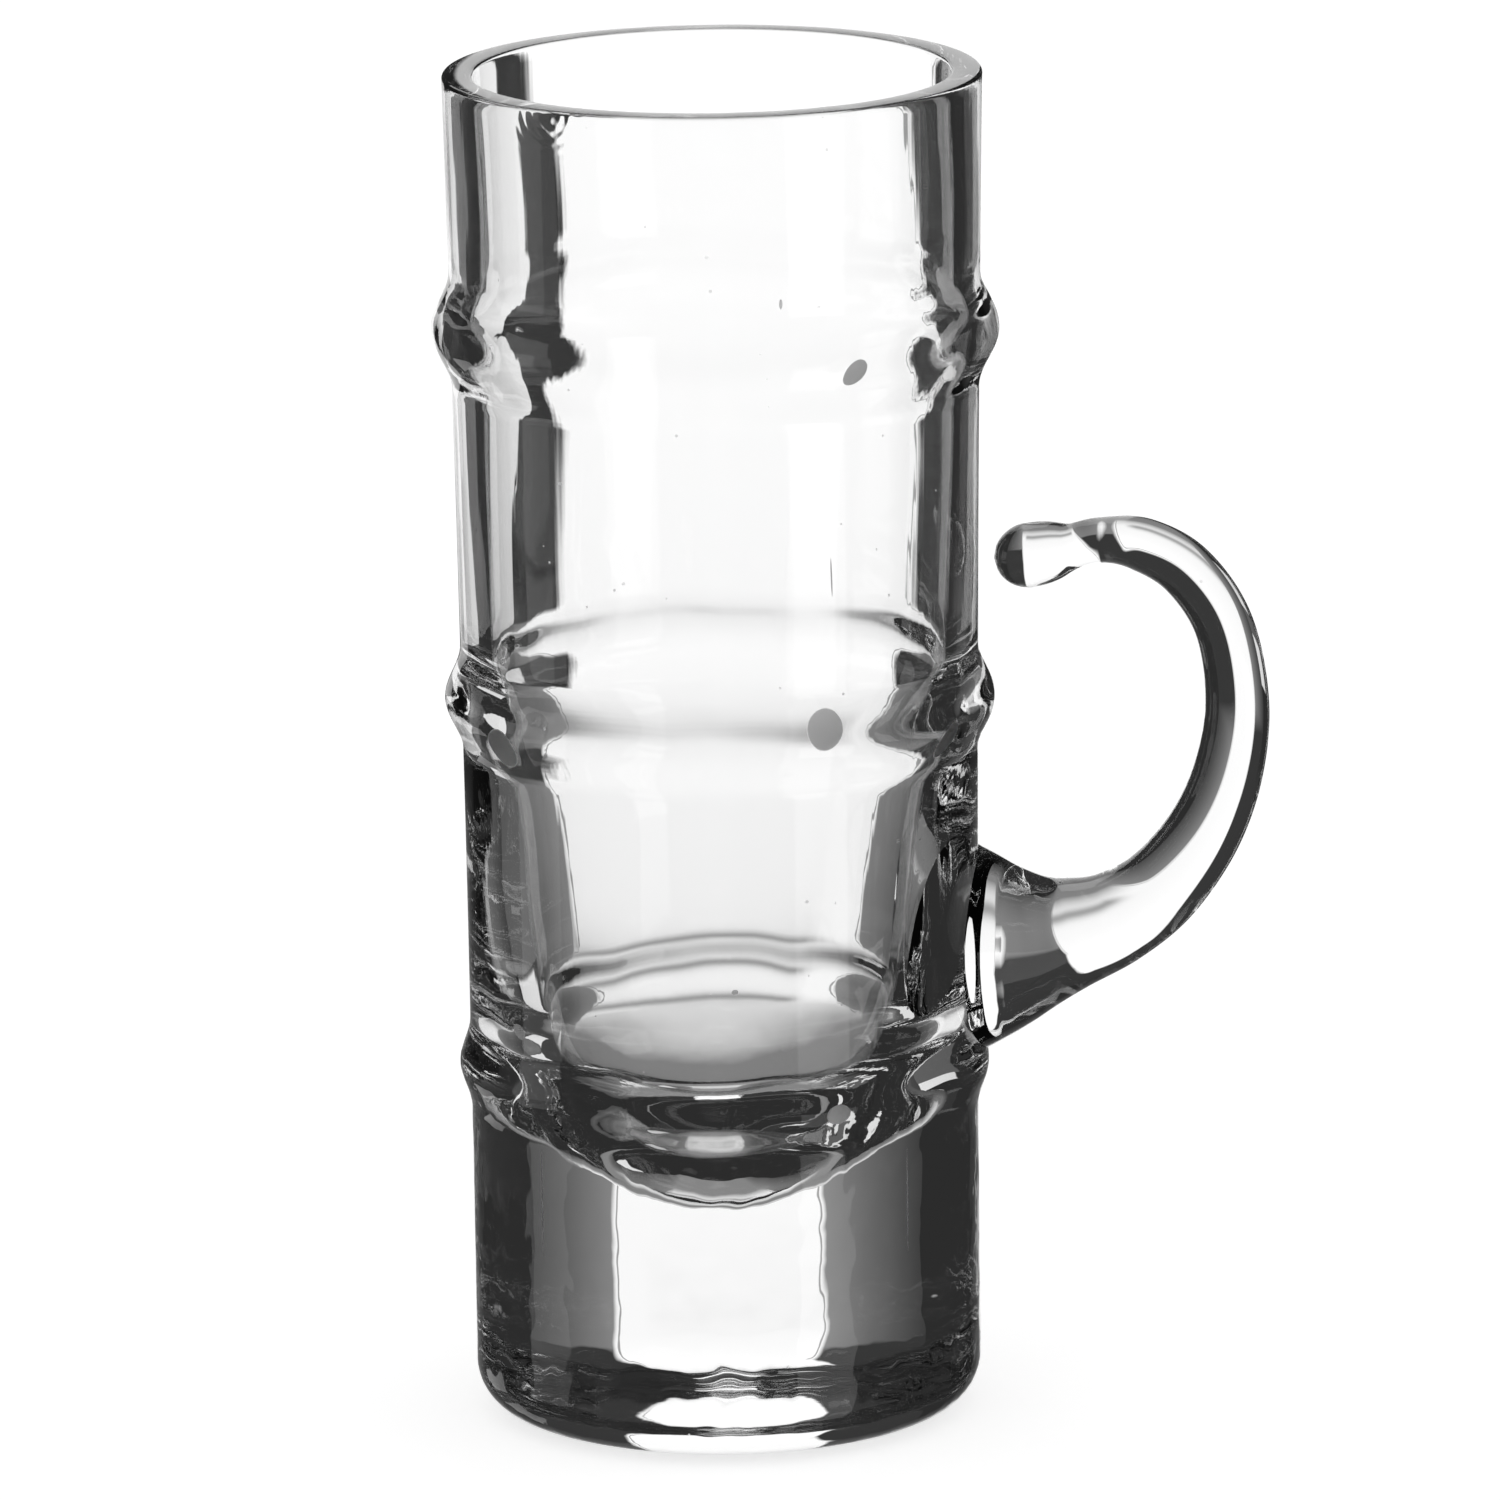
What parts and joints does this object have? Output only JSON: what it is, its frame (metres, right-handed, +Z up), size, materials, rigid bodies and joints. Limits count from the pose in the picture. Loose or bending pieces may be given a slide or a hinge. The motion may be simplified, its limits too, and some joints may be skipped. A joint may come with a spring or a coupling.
{
  "type": "handled juice glass",
  "caption": "Tall clear juice glass with ring-shaped swellings, a thick solid base, and a solid glass hook handle welded low on one side with a free round end.",
  "frame": {"origin": "centre of the flat foot that the glass stands on", "axes": "+Z up along the body's axis to the rim, +X from the axis towards the handle"},
  "size_m": [0.0977, 0.0666, 0.16],
  "materials": {
    "body_glass": "clear, fire-polished, ground foot and rim",
    "handle_glass": "clear, fire-polished"
  },
  "bodies": {
    "root": {"glass_body": "body_glass", "applied_handle": "handle_glass"}
  },
  "joints": []
}
